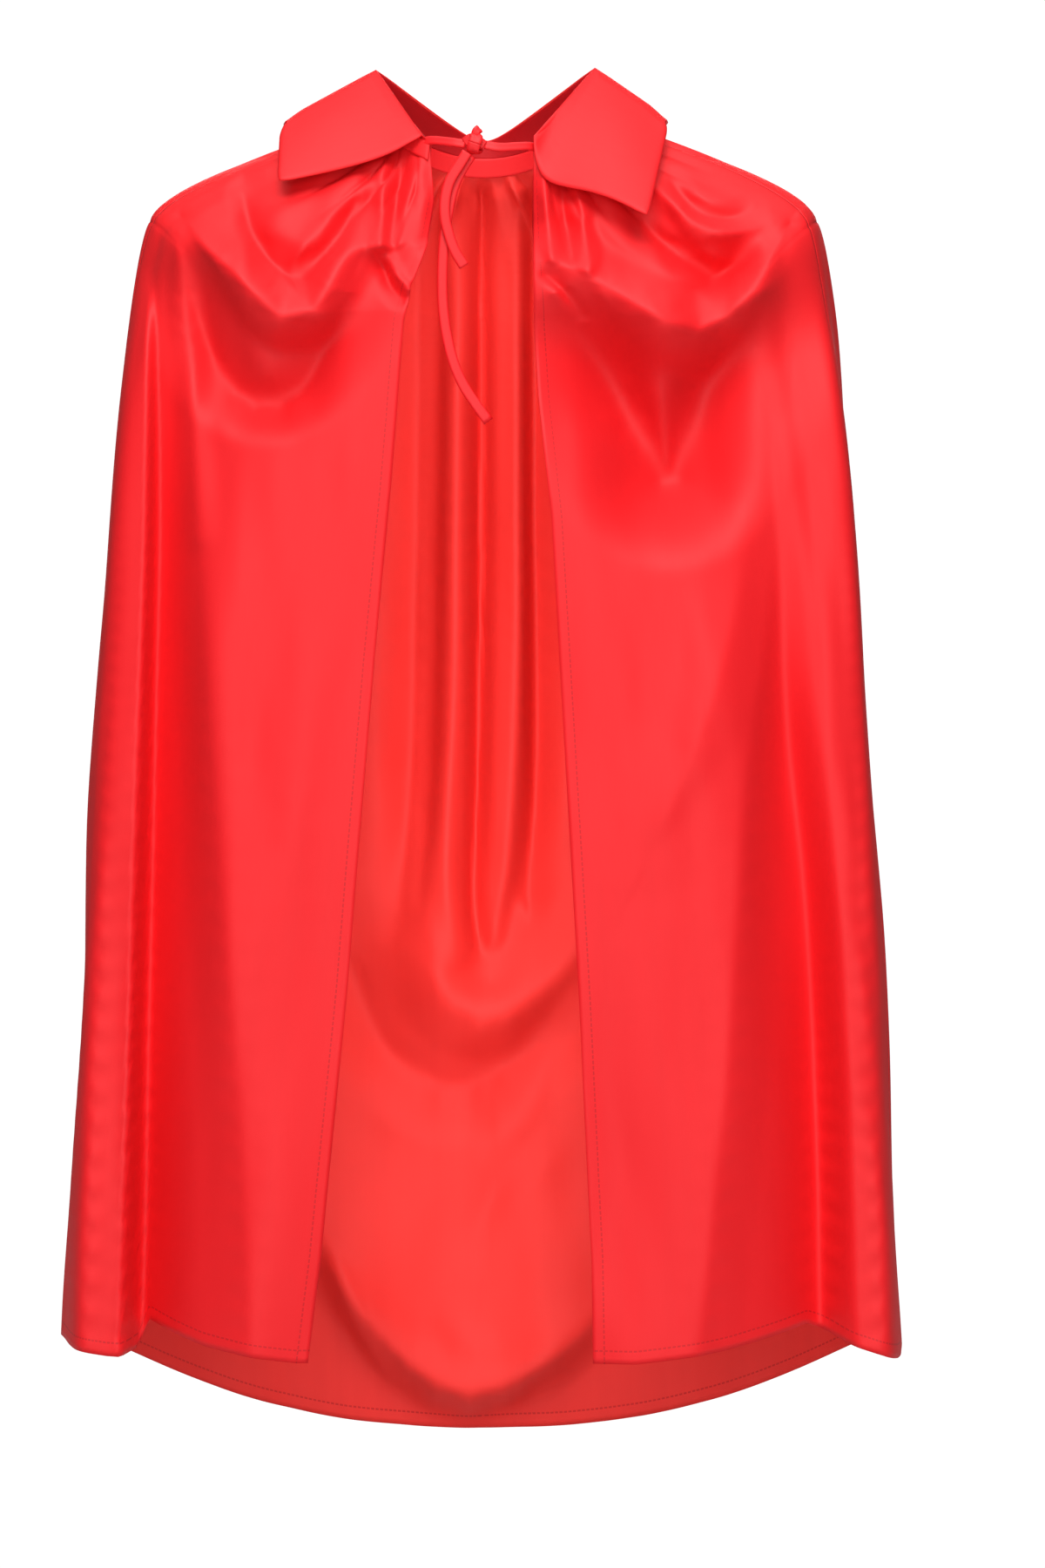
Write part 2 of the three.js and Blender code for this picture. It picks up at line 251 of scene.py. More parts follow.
# running stitches beside the hem and both front edges of the cloth
def stitchGroup():
    group = bpy.data.node_groups.new("hemStitch", "ShaderNodeTree")
    face = group.interface
    face.new_socket("Color", in_out="INPUT", socket_type="NodeSocketColor")
    face.new_socket("Thread", in_out="INPUT", socket_type="NodeSocketColor")
    face.new_socket("Height", in_out="INPUT", socket_type="NodeSocketFloat")
    face.new_socket("Color", in_out="OUTPUT", socket_type="NodeSocketColor")
    face.new_socket("Height", in_out="OUTPUT", socket_type="NodeSocketFloat")
    nodes, links = group.nodes, group.links
    source = nodes.new("NodeGroupInput")
    sink = nodes.new("NodeGroupOutput")
    split = nodes.new("ShaderNodeSeparateXYZ")
    links.new(clothPlace(group), split.inputs[0])
    work = partial(mathNode, group)

    def dashes(across, along, line):
        near = work("LESS_THAN", work("ABSOLUTE", work("SUBTRACT", across, line)), stitching["width"])
        pitch = stitching["length"] + stitching["gap"]
        on = work("LESS_THAN", work("PINGPONG", along, pitch / 2), stitching["length"] / 2)
        return work("MULTIPLY", near, on)

    u, v = split.outputs[0], split.outputs[1]
    hem = dashes(v, u, stitching["inset"] - clothEnd)
    left = dashes(u, v, stitching["inset"])
    right = dashes(u, v, cape["flatWidth"] - stitching["inset"])
    mask = work("MAXIMUM", hem, work("MAXIMUM", left, right))
    color = mixColors(group, mask, source.outputs["Color"], source.outputs["Thread"])
    links.new(color, sink.inputs["Color"])
    sunk = work("MULTIPLY", mask, stitching["sink"])
    links.new(work("SUBTRACT", source.outputs["Height"], sunk), sink.inputs["Height"])
    return group


hemStitch = stitchGroup()


def clothMaterial(name, finish, stitched=False):
    material = bpy.data.materials.new(name)
    material.use_nodes = True
    nodes, links = material.node_tree.nodes, material.node_tree.links
    shader = nodes["Principled BSDF"]
    shader.inputs["Specular IOR Level"].default_value = finish["shine"]
    group = nodes.new("ShaderNodeGroup")
    group.node_tree = weave
    group.inputs["Color"].default_value = finish["color"]
    group.inputs["Deep"].default_value = finish["deep"]
    group.inputs["Roughness"].default_value = finish["rough"]
    group.inputs["Streak"].default_value = finish["streak"]
    group.inputs["Weave"].default_value = finish["weave"]
    color, height = group.outputs["Color"], group.outputs["Height"]
    if stitched:
        stitch = nodes.new("ShaderNodeGroup")
        stitch.node_tree = hemStitch
        stitch.inputs["Thread"].default_value = finish["thread"]
        links.new(color, stitch.inputs["Color"])
        links.new(height, stitch.inputs["Height"])
        color, height = stitch.outputs["Color"], stitch.outputs["Height"]
    bump = nodes.new("ShaderNodeBump")
    bump.inputs["Strength"].default_value = weaving["reliefStrength"]
    bump.inputs["Distance"].default_value = weaving["reliefDepth"]
    links.new(color, shader.inputs["Base Color"])
    links.new(group.outputs["Roughness"], shader.inputs["Roughness"])
    links.new(height, bump.inputs["Height"])
    links.new(bump.outputs[0], shader.inputs["Normal"])
    through = nodes.new("ShaderNodeBsdfTranslucent")  # a little light comes through one layer of cloth
    links.new(color, through.inputs["Color"])
    blend = nodes.new("ShaderNodeMixShader")
    blend.inputs[0].default_value = finish["glow"]
    links.new(shader.outputs[0], blend.inputs[1])
    links.new(through.outputs[0], blend.inputs[2])
    links.new(blend.outputs[0], nodes["Material Output"].inputs[0])
    return material


satin = clothMaterial("satin", finishes["satin"])
wrongSide = clothMaterial("wrongSide", finishes["wrongSide"])
# the stand facing material carries painted shade for the inside of the neck opening
standFacingPaintedShade = clothMaterial("standFacingPaintedShade", finishes["standFacingPaintedShade"])
tieSatin = clothMaterial("tieSatin", finishes["tie"])
hemmedSatin = clothMaterial("hemmedSatin", finishes["satin"], stitched=True)
hemmedInside = clothMaterial("hemmedInside", finishes["wrongSide"], stitched=True)
print("materials made")


# each tie is a folded strip; the tails follow the CAD routes, in metres
tie = dict(width=0.007, thickness=0.0024, groove=0.35, grooveShare=0.12, sides=20, tailSteps=60)
shortTailRoute = [
    (-0.010, -0.0755, -0.007), (-0.015, -0.0755, -0.015), (-0.0215, -0.0755, -0.026),
    (-0.0245, -0.0755, -0.038), (-0.0245, -0.0755, -0.050), (-0.022, -0.0755, -0.061),
    (-0.018, -0.0755, -0.072), (-0.012, -0.0755, -0.082),
]
longTailRoute = [
    (-0.0075, -0.0718, -0.0085), (-0.013, -0.0718, -0.017), (-0.019, -0.0718, -0.030),
    (-0.023, -0.0718, -0.048), (-0.0255, -0.0719, -0.068), (-0.0265, -0.0721, -0.088),
    (-0.026, -0.0724, -0.108), (-0.0235, -0.0728, -0.127), (-0.019, -0.0732, -0.145),
    (-0.0125, -0.0736, -0.160), (-0.004, -0.074, -0.173), (0.004, -0.074, -0.184),
]


# a flat oval with a crease down its middle, where the strip's two folded edges meet
def strapSection(width, thickness):
    angle = np.linspace(0, 2 * np.pi, tie["sides"], endpoint=False)
    across = np.sign(np.cos(angle)) * np.abs(np.cos(angle)) ** 0.7 * width / 2
    deep = np.sign(np.sin(angle)) * np.abs(np.sin(angle)) ** 0.8 * thickness / 2
    deep *= 1 - tie["groove"] * np.exp(-(across / (width * tie["grooveShare"])) ** 2)
    return across, deep


def sweepStrap(name, route, steps, facing, width=tie["width"], thickness=tie["thickness"]):
    path = smoothPath(route, steps)
    tangent = np.gradient(path, axis=0)
    tangent /= np.linalg.norm(tangent, axis=1)[:, None]
    side = np.cross(tangent, np.broadcast_to(np.asarray(facing, float), (steps, 3)))
    side /= np.linalg.norm(side, axis=1)[:, None]
    out = np.cross(side, tangent)
    across, deep = strapSection(width, thickness)
    rings = path[:, None] + side[:, None] * across[None, :, None] + out[:, None] * deep[None, :, None]
    sides = tie["sides"]
    faces = [tuple(f[::-1]) for f in gridFaces(steps, sides, wrap=True)]
    run = np.concatenate([[0], np.cumsum(np.linalg.norm(np.diff(path, axis=0), axis=1))])
    uvs = np.stack([np.tile(across, steps), np.repeat(run, sides)], 1)
    faces.append(tuple(range(sides)))
    faces.append(tuple(range(steps * sides - 1, (steps - 1) * sides - 1, -1)))
    obj = makeMesh(name, rings.reshape(-1, 3), faces, uvs)
    obj.data.materials.append(tieSatin)
    return obj, path


def makeTails():
    for name, route, node in (("shortTieTail", shortTailRoute, "short_tie_tail"),
                              ("longTieTail", longTailRoute, "long_tie_tail")):
        tail, path = sweepStrap(name, route, tie["tailSteps"], (0, -1, 0))
        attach(tail, "tie_tails")
        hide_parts(node)


makeTails()
print("tie tails made")


# outline of the drape at one distance down the cloth: band, then yoke, then skirt
def levelAt(down):
    c = cape
    band = np.clip(down / c["bandHeight"], 0, 1)
    yoke = np.clip((down - c["bandHeight"]) / c["shoulderRun"], 0, 1)
    skirt = np.clip((down - yokeEnd) / c["skirtLength"], 0, 1)
    turn = yoke * np.pi / 2
    reach = np.sin(turn)
    slope = (1 - c["straightness"]) * (1 - np.cos(turn)) ** c["squareness"] + c["straightness"] * reach
    wide = c["neckHalfWidth"] + c["bandFlare"] * band
    deep = c["neckHalfDepth"] + c["bandFlare"] * band
    sideTop = c["neckSideRise"] - c["bandHeight"] * band - c["shoulderDrop"] * slope
    frontTop = c["neckFrontRise"] - c["bandHeight"] * band - c["frontYokeDrop"] * yoke ** c["frontYokeHang"]
    backTop = c["neckBackRise"] - c["bandHeight"] * band - c["backYokeDrop"] * yoke
    sideHem = c["neckSideRise"] - c["bandHeight"] - c["shoulderDrop"] - c["skirtLength"]
    return dict(
        halfWidth=wide + (c["shoulderHalfWidth"] - wide) * reach
        + (c["hemHalfWidth"] - c["shoulderHalfWidth"]) * skirt ** c["flare"],
        halfDepth=deep + (c["chestHalfDepth"] - deep) * reach
        + (c["hemHalfDepth"] - c["chestHalfDepth"]) * skirt,
        side=sideTop + (sideHem - sideTop) * skirt,
        front=frontTop + (sideHem - c["frontHemDip"] - frontTop) * skirt,
        back=backTop + (sideHem - c["backHemDip"] - backTop) * skirt,
        power=2 + (c["planPower"] - 2) * min(yoke + skirt, 1),
        skirt=skirt)


def drapePoints(level, angle):
    across, along = np.sin(angle), np.cos(angle)
    squash = 2 / level["power"]
    end = np.where(along > 0, level["back"], level["front"])
    rise = np.abs(across) ** np.where(along > 0, 2 - cape["hemRound"] * level["skirt"], 2)
    return np.stack([
        level["halfWidth"] * np.sign(across) * np.abs(across) ** squash,
        level["halfDepth"] * np.sign(along) * np.abs(along) ** squash,
        end + (level["side"] - end) * rise], -1)


def frontAngle(level, x):
    share = min((abs(x) / level["halfWidth"]) ** (level["power"] / 2), 1)
    return math.copysign(math.pi - math.asin(share), x)


def edgeX(edge, level):
    heights, places = zip(*reversed(edge))
    return float(np.interp(level["front"], heights, places))


def baseDrape():
    rows, columns = cape["rows"], cape["columns"]
    dense = cape["denseRows"]
    downs = np.concatenate([np.linspace(0, cape["denseTo"], dense, endpoint=False),
                            np.linspace(cape["denseTo"], clothEnd, rows - dense)])
    grid = np.zeros((rows, columns, 3))
    angles = np.zeros((rows, columns))
    for r, down in enumerate(downs):
        level = levelAt(down)
        low = frontAngle(level, edgeX(cape["leftEdge"], level))
        high = frontAngle(level, edgeX(cape["rightEdge"], level))
        angle = np.linspace(low, high, cape["rowSteps"])
        points = drapePoints(level, angle)
        run = np.concatenate([[0], np.cumsum(np.linalg.norm(np.diff(points, axis=0), axis=1))])
        at = np.linspace(0, run[-1], columns)
        angles[r] = np.interp(at, run, angle)
        grid[r] = drapePoints(level, angles[r])
    return grid, angles, downs


def gridNormals(grid):
    across = np.gradient(grid, axis=1)
    along = np.gradient(grid, axis=0)
    normal = np.cross(across, along)
    return normal / np.maximum(np.linalg.norm(normal, axis=2, keepdims=True), 1e-12)


# Each fold is a line of (x, z, strength) along its crest, in metres. The cloth moves out by height there
# and fades over one width above the line (or right of one that runs down) and another below or left of it.
frontFolds = [
    # left cowl: its rolled lip, the slope under it and the crease where that slope ends
    dict(line=[(-0.200, -0.046, 0), (-0.190, -0.052, 0.6), (-0.178, -0.063, 1), (-0.158, -0.083, 1),
               (-0.141, -0.101, 1), (-0.129, -0.110, 1), (-0.120, -0.112, 1), (-0.110, -0.106, 1),
               (-0.100, -0.089, 1), (-0.091, -0.073, 0.9), (-0.083, -0.066, 0.8), (-0.066, -0.065, 0.7),
               (-0.048, -0.065, 0.5)], width=(0.010, 0.022), height=0.024, round=0.004, sag=0.010),
    dict(line=[(-0.200, -0.055, 0.1), (-0.186, -0.118, 0.7), (-0.163, -0.161, 1), (-0.139, -0.172, 1),
               (-0.118, -0.162, 1), (-0.101, -0.133, 0.7), (-0.087, -0.098, 0.1)],
         width=(0.028, 0.020), height=-0.026, round=0.004),
    # left hollow above the lip, with its two straight sides
    dict(line=[(-0.160, -0.026, 0.3), (-0.153, -0.055, 1), (-0.142, -0.075, 1), (-0.132, -0.086, 0.8)],
         width=(0.012, 0.006), height=-0.015, round=0.003),
    dict(line=[(-0.081, -0.028, 0.6), (-0.100, -0.052, 1), (-0.119, -0.074, 0.8), (-0.129, -0.084, 0.3)],
         width=(0.006, 0.010), height=0.009, round=0.0025),
    dict(line=[(-0.084, -0.040, 0.6), (-0.094, -0.060, 1), (-0.108, -0.078, 1), (-0.116, -0.091, 0.5)],
         width=(0.005, 0.005), height=-0.009, round=0.002),
    # upright pleats beside the left front edge, and the small turned corner under them
    dict(line=[(-0.0660, -0.010, 0.6), (-0.0655, -0.040, 1), (-0.0655, -0.063, 0.8)], width=(0.005, 0.006),
         height=0.009, round=0.002),
    dict(line=[(-0.0540, -0.014, 0.6), (-0.0570, -0.040, 1), (-0.0600, -0.061, 0.8)], width=(0.004, 0.004),
         height=-0.006, round=0.0015),
    dict(line=[(-0.0415, -0.012, 0.6), (-0.0480, -0.040, 1), (-0.0540, -0.063, 0.8)], width=(0.004, 0.004),
         height=0.006, round=0.0015),
    dict(line=[(-0.070, -0.071, 0.4), (-0.064, -0.082, 1), (-0.059, -0.096, 1), (-0.052, -0.106, 0.6)],
         width=(0.004, 0.006), height=-0.008, round=0.001),
    dict(line=[(-0.062, -0.074, 0.5), (-0.056, -0.088, 1), (-0.048, -0.100, 1)], width=(0.004, 0.003),
         height=0.004, round=0.001),
    # right cowl: lip, slope and crease
    dict(line=[(0.030, -0.076, 0.6), (0.046, -0.0745, 0.8), (0.058, -0.0760, 0.9), (0.070, -0.081, 1),
               (0.088, -0.093, 1), (0.105, -0.105, 1), (0.123, -0.114, 1), (0.139, -0.118, 1),
               (0.155, -0.112, 1), (0.169, -0.098, 1), (0.183, -0.080, 0.9), (0.194, -0.064, 0.5),
               (0.203, -0.052, 0)], width=(0.010, 0.032), height=0.027, round=0.004, sag=0.010),
    dict(line=[(0.048, -0.098, 0.2), (0.068, -0.130, 0.7), (0.088, -0.163, 1), (0.108, -0.196, 1),
               (0.123, -0.221, 1.1), (0.134, -0.194, 1), (0.155, -0.143, 0.8), (0.183, -0.093, 0.2)],
         width=(0.040, 0.040), height=-0.052, round=0.010),
    # right hollow above the lip and the smaller swag over it
    dict(line=[(0.100, -0.044, 0.3), (0.113, -0.060, 1), (0.133, -0.077, 1), (0.151, -0.086, 1),
               (0.169, -0.079, 1), (0.186, -0.062, 0.3)], width=(0.011, 0.010), height=-0.017, round=0.004),
    dict(line=[(0.112, -0.026, 0.3), (0.123, -0.038, 1), (0.141, -0.056, 1), (0.162, -0.061, 1),
               (0.188, -0.052, 0.2)], width=(0.006, 0.006), height=0.008, round=0.003),
    dict(line=[(0.122, -0.020, 0.3), (0.130, -0.031, 1), (0.144, -0.045, 1), (0.165, -0.048, 0.8),
               (0.180, -0.040, 0.1)], width=(0.006, 0.006), height=-0.008, round=0.003),
    # upright pleats beside the right front edge
    dict(line=[(0.040, -0.014, 0.6), (0.042, -0.040, 1), (0.045, -0.070, 0.8)], width=(0.005, 0.004),
         height=0.008, round=0.002),
    dict(line=[(0.052, -0.024, 0.6), (0.054, -0.046, 1), (0.058, -0.071, 0.8)], width=(0.004, 0.004),
         height=-0.006, round=0.0015),
    dict(line=[(0.062, -0.030, 0.6), (0.066, -0.052, 1), (0.070, -0.076, 0.8)], width=(0.005, 0.005),
         height=0.008, round=0.002),
    dict(line=[(0.042, -0.084, 0.6), (0.052, -0.094, 1), (0.066, -0.112, 0.5)], width=(0.005, 0.004),
         height=-0.006, round=0.001),
    # hanging folds of the left front: crest, deep recess, and the outer fold in front of it
    dict(line=[(-0.204, -0.056, 0.3), (-0.199, -0.080, 1), (-0.191, -0.160, 1), (-0.186, -0.260, 0.4)],
         width=(0.008, 0.008), height=0.006, round=0.003),
    dict(line=[(-0.216, -0.080, 0), (-0.214, -0.150, 0.4), (-0.214, -0.240, 0.7), (-0.217, -0.370, 1.0),
               (-0.221, -0.500, 1.3), (-0.225, -0.650, 1.6), (-0.230, -0.830, 1.9)],
         width=(0.032, 0.003), height=-0.030, round=0.003),
    dict(line=[(-0.189, -0.180, 0), (-0.184, -0.250, 0.7), (-0.175, -0.368, 1), (-0.167, -0.480, 1),
               (-0.156, -0.616, 1), (-0.150, -0.720, 1), (-0.146, -0.830, 1)],
         width=(0.040, 0.014), height=0.012, round=0.006),
    dict(line=[(-0.224, -0.080, 0), (-0.220, -0.240, 0.6), (-0.224, -0.400, 0.9), (-0.227, -0.600, 1),
               (-0.232, -0.830, 1.1)], width=(0.003, 0.016), height=0.010, round=0.002),
    dict(line=[(-0.226, -0.080, 0), (-0.238, -0.200, 0.6), (-0.252, -0.400, 0.9), (-0.260, -0.600, 1),
               (-0.267, -0.830, 1)], width=(0.017, 0.012), height=0.030, round=0.006),
    # hanging folds of the right front
    dict(line=[(0.186, -0.140, 0), (0.191, -0.250, 0.5), (0.198, -0.374, 0.9), (0.210, -0.480, 1.2),
               (0.218, -0.600, 1.5), (0.224, -0.830, 1.8)], width=(0.010, 0.032), height=-0.023, round=0.006),
    dict(line=[(0.200, -0.180, 0), (0.184, -0.330, 0.7), (0.172, -0.410, 1), (0.157, -0.615, 1),
               (0.139, -0.790, 1), (0.137, -0.830, 1)], width=(0.016, 0.045), height=0.012, round=0.004),
    dict(line=[(0.178, -0.250, 0), (0.154, -0.353, 1), (0.125, -0.430, 1), (0.109, -0.466, 0.3)],
         width=(0.020, 0.030), height=0.006, round=0.003),
    dict(line=[(0.214, -0.120, 0), (0.226, -0.350, 0.7), (0.237, -0.600, 1), (0.243, -0.830, 1.1)],
         width=(0.014, 0.008), height=0.009, round=0.006),
    dict(line=[(0.226, -0.080, 0), (0.240, -0.200, 0.6), (0.254, -0.400, 0.9), (0.262, -0.600, 1),
               (0.268, -0.830, 1)], width=(0.012, 0.017), height=0.034, round=0.006),
    # soft waves down the flat of each front
    dict(line=[(-0.120, -0.200, 0), (-0.118, -0.350, 1), (-0.130, -0.600, 1), (-0.150, -0.780, 0.6)],
         width=(0.022, 0.022), height=0.004, round=0.010),
    dict(line=[(0.098, -0.260, 0), (0.094, -0.400, 1), (0.100, -0.600, 1), (0.110, -0.790, 0.7)],
         width=(0.024, 0.024), height=0.004, round=0.010),
]
# On the back, a negative height brings the cloth in, toward the opening.
backFolds = [
    dict(line=[(-0.046, -0.030, 0.5), (-0.047, -0.200, 1), (-0.052, -0.400, 1), (-0.060, -0.520, 0.3)],
         width=(0.010, 0.014), height=0.012, round=0.004),
    dict(line=[(-0.018, -0.020, 0.5), (-0.019, -0.200, 1), (-0.021, -0.350, 1), (-0.026, -0.470, 0.8),
               (-0.020, -0.540, 0.4)], width=(0.009, 0.010), height=-0.019, round=0.004),
    dict(line=[(-0.031, -0.020, 0.5), (-0.032, -0.200, 1), (-0.036, -0.400, 0.8), (-0.044, -0.500, 0.3)],
         width=(0.004, 0.006), height=0.006, round=0.002),
    dict(line=[(-0.003, -0.015, 0.6), (-0.003, -0.200, 1), (-0.005, -0.400, 1), (-0.008, -0.500, 0.8),
               (-0.004, -0.534, 0.5)], width=(0.006, 0.005), height=0.018, round=0.002),
    dict(line=[(0.009, -0.020, 0.5), (0.010, -0.200, 0.8), (0.009, -0.400, 1), (0.004, -0.500, 0.4)],
         width=(0.006, 0.006), height=-0.006, round=0.004),
    dict(line=[(0.023, -0.015, 0.5), (0.023, -0.200, 1), (0.022, -0.350, 1), (0.016, -0.470, 0.8),
               (0.006, -0.530, 0.4)], width=(0.005, 0.008), height=-0.014, round=0.003),
    dict(line=[(0.034, -0.020, 0.5), (0.034, -0.200, 1), (0.036, -0.400, 1), (0.030, -0.500, 0.4)],
         width=(0.012, 0.005), height=0.019, round=0.003),
    dict(line=[(-0.044, -0.440, 0.2), (-0.040, -0.487, 0.6), (-0.034, -0.551, 1), (-0.016, -0.577, 1),
               (0.006, -0.584, 1), (0.033, -0.572, 1), (0.062, -0.543, 0.7), (0.080, -0.510, 0.2)],
         width=(0.024, 0.022), height=-0.022, round=0.007),
    dict(line=[(-0.100, -0.530, 0.4), (-0.094, -0.552, 0.7), (-0.072, -0.604, 1), (-0.044, -0.628, 1),
               (-0.020, -0.636, 1), (0.012, -0.622, 1), (0.040, -0.588, 1), (0.066, -0.555, 0.6)],
         width=(0.022, 0.026), height=0.016, round=0.005),
    dict(line=[(0.058, -0.600, 0.4), (0.036, -0.660, 1), (0.004, -0.716, 1), (-0.010, -0.742, 0.4)],
         width=(0.014, 0.016), height=0.004, round=0.006),
    dict(line=[(-0.113, -0.735, 0.5), (-0.088, -0.782, 1), (-0.056, -0.820, 1), (-0.032, -0.838, 1),
               (-0.012, -0.845, 1), (0.012, -0.840, 1), (0.040, -0.824, 1), (0.069, -0.800, 0.6),
               (0.090, -0.770, 0.2)], width=(0.050, 0.012), height=-0.030, round=0.006),
    dict(line=[(-0.104, -0.760, 0.5), (-0.088, -0.800, 1), (-0.066, -0.838, 0.5)], width=(0.006, 0.006),
         height=-0.007, round=0.003),
]


def smoothStep(value, start, end):
    share = np.clip((value - start) / (end - start), 0, 1)
    return share * share * (3 - 2 * share)


# how a fold's line is worked out and how its push dies away from the line
foldRules = dict(points=70, margin=2.4, fade=2.3, shoulder=0.4, settle=0.0004, soften=0.45, sideTurn=0.002)


def addFolds(grid, outward, facing, folds):
    rules = foldRules
    moved = grid.copy()
    flat = grid[..., [0, 2]]
    for fold in folds:
        path = smoothPath(fold["line"], rules["points"])
        start, step = path[:-1, :2], np.diff(path[:, :2], axis=0)
        length = np.maximum((step ** 2).sum(1), 1e-12)
        reach = max(fold["width"]) * rules["margin"]
        low, high = path[:, :2].min(0) - reach, path[:, :2].max(0) + reach
        near = (facing > 0) & (flat > low).all(-1) & (flat < high).all(-1)
        p = flat[near]
        if not len(p):
            continue
        t = np.clip(((p[:, None] - start) * step).sum(-1) / length, 0, 1)
        gap = p[:, None] - (start + t[..., None] * step)
        distance = np.linalg.norm(gap, axis=-1)
        best = distance.argmin(1)
        pick = np.arange(len(p))
        nearest = distance[pick, best]
        # nearby stretches of the line share the push, so a bend leaves no crease inside it
        blur = rules["settle"] + rules["soften"] * nearest[:, None]
        share = np.exp((nearest[:, None] - distance) / blur)
        share /= share.sum(1, keepdims=True)
        strength = ((path[:-1, 2] + t * np.diff(path[:, 2])) * share).sum(1)
        d = (distance * share).sum(1)
        g = gap[pick, best]
        s = step[best]
        side = (s[:, 0] * g[:, 1] - s[:, 1] * g[:, 0]) / np.sqrt((s ** 2).sum(1))
        above = smoothStep(side, -rules["sideTurn"], rules["sideTurn"])
        width = fold["width"][1] + (fold["width"][0] - fold["width"][1]) * above
        away = np.clip((np.hypot(d, fold["round"]) - fold["round"]) / (width * rules["fade"]), 0, 1)
        shape = (1 - away) ** 2 * (1 + rules["shoulder"] * away) * strength * facing[near]
        moved[near, 1] += outward * fold["height"] * shape
        if "sag" in fold:
            moved[near, 2] -= fold["sag"] * shape
    return moved


# small gathers under the neckband, longer behind than in front; turn is the angle from the back
gathers = dict(count=38, depth=0.0034, fullAt=0.030, startAt=0.8, goneBehind=0.19, goneAhead=0.085,
               turn=(0.7, 1.4), fade=1.3, wander=1.6, sharpness=0.8, seed=7)


def addGathers(grid, normals, angles, downs):
    g = gathers
    u = np.linspace(0, 1, grid.shape[1])
    rng = np.random.default_rng(g["seed"])
    wander = sum(rng.uniform(0.3, 1) * np.sin(2 * np.pi * k * u + rng.uniform(0, 6.3))
                 for k in (1, 2, 3, 5, 7))
    phase = 2 * np.pi * g["count"] * u + wander * g["wander"]
    size = 1 + 0.5 * np.sin(2 * np.pi * 9 * u + 1.3) + 0.3 * np.sin(2 * np.pi * 17 * u)
    ripple = (np.abs(np.sin(phase / 2)) ** g["sharpness"] * 2 - 1) * size
    down = downs[:, None]
    ahead = smoothStep(np.abs(angles), *g["turn"])
    gone = g["goneBehind"] + (g["goneAhead"] - g["goneBehind"]) * ahead
    rise = np.clip((down - cape["bandHeight"] * g["startAt"]) / g["fullAt"], 0, 1)
    fade = np.clip((gone - down) / (gone - g["fullAt"]), 0, 1) ** g["fade"]
    return grid + normals * (g["depth"] * rise * fade * ripple)[..., None]


# broad and fine unevenness of hanging satin, starting a little below the neckband
unevenness = dict(waves=26, size=0.0013, across=(18, 90), drop=(3, 26), fineWaves=34, fineSize=0.00006,
                  fineAcross=(60, 210), fineDrop=(5, 70), grow=(0.02, 0.09), seed=11)


def addUnevenness(grid, normals, downs):
    rng = np.random.default_rng(unevenness["seed"])
    along = np.linspace(0, cape["flatWidth"], grid.shape[1])[None, :]
    down = downs[:, None]
    ripple = np.zeros(grid.shape[:2])
    for _ in range(unevenness["waves"]):
        across = rng.uniform(*unevenness["across"]) * rng.choice([-1, 1])
        drop = rng.uniform(*unevenness["drop"])
        height = rng.uniform(0.3, 1) * 30 / (abs(across) + 20)
        ripple += height * np.sin(across * along + drop * down + rng.uniform(0, 2 * np.pi))
    fine = np.zeros(grid.shape[:2])
    for _ in range(unevenness["fineWaves"]):
        across = rng.uniform(*unevenness["fineAcross"]) * rng.choice([-1, 1])
        drop = rng.uniform(*unevenness["fineDrop"])
        fine += rng.uniform(0.3, 1) * np.sin(across * along + drop * down + rng.uniform(0, 2 * np.pi))
    grow = smoothStep(downs, *unevenness["grow"])[:, None]
    moved = (unevenness["size"] * ripple + unevenness["fineSize"] * fine) * grow
    return grid + normals * moved[..., None]


# how far the front hem rises or dips at each x
hemLift = dict(places=(-0.281, -0.245, -0.230, -0.222, -0.180, -0.120, 0.100, 0.160, 0.214, 0.240, 0.281),
               lifts=(0.002, -0.002, -0.002, 0.018, 0.008, 0, 0, 0.007, 0.017, 0.006, -0.010),
               start=0.55, turn=(1.45, 1.75))


def liftHem(grid, angles, downs):
    share = np.clip((downs - yokeEnd) / cape["skirtLength"], 0, 1)
    grow = smoothStep(share, hemLift["start"], 1)[:, None] * smoothStep(np.abs(angles), *hemLift["turn"])
    grid[..., 2] += np.interp(grid[..., 0], hemLift["places"], hemLift["lifts"]) * grow
    return grid


foldTurn = dict(side=1.57, front=1.85, back=1.30)  # angles from the back where fold strokes take hold


def makeCloth():
    grid, angles, downs = baseDrape()
    normals = gridNormals(grid)
    grid = liftHem(grid, angles, downs)
    grid = addGathers(grid, normals, angles, downs)
    grid = addUnevenness(grid, normals, downs)
    ahead = np.abs(angles)
    grid = addFolds(grid, -1, smoothStep(ahead, foldTurn["side"], foldTurn["front"]), frontFolds)
    grid = addFolds(grid, 1, smoothStep(-ahead, -foldTurn["side"], -foldTurn["back"]), backFolds)
    return grid, downs


# one piece of the sheet, between two columns that its neighbours share, with a right and a wrong side
def cutPiece(name, grid, downs, first, last):
    part = grid[:, first:last + 1]
    rows, columns = part.shape[:2]
    share = np.arange(first, last + 1) / (cape["columns"] - 1)
    u = np.tile(share * cape["flatWidth"], rows)
    v = np.repeat(-downs, columns)
    obj = makeMesh(name, part.reshape(-1, 3), gridFaces(rows, columns), np.stack([u, v], 1))
    for material in (hemmedSatin, hemmedInside, hemmedSatin):
        obj.data.materials.append(material)
    solid = obj.modifiers.new("thickness", "SOLIDIFY")
    solid.thickness = cape["thickness"]
    solid.offset = -1
    solid.material_offset = 1
    solid.material_offset_rim = 2
    solid.use_rim = True
    applyModifiers(obj)
    return obj


sideCut = dict(left=0.20, right=0.80)  # shares of the cloth's width


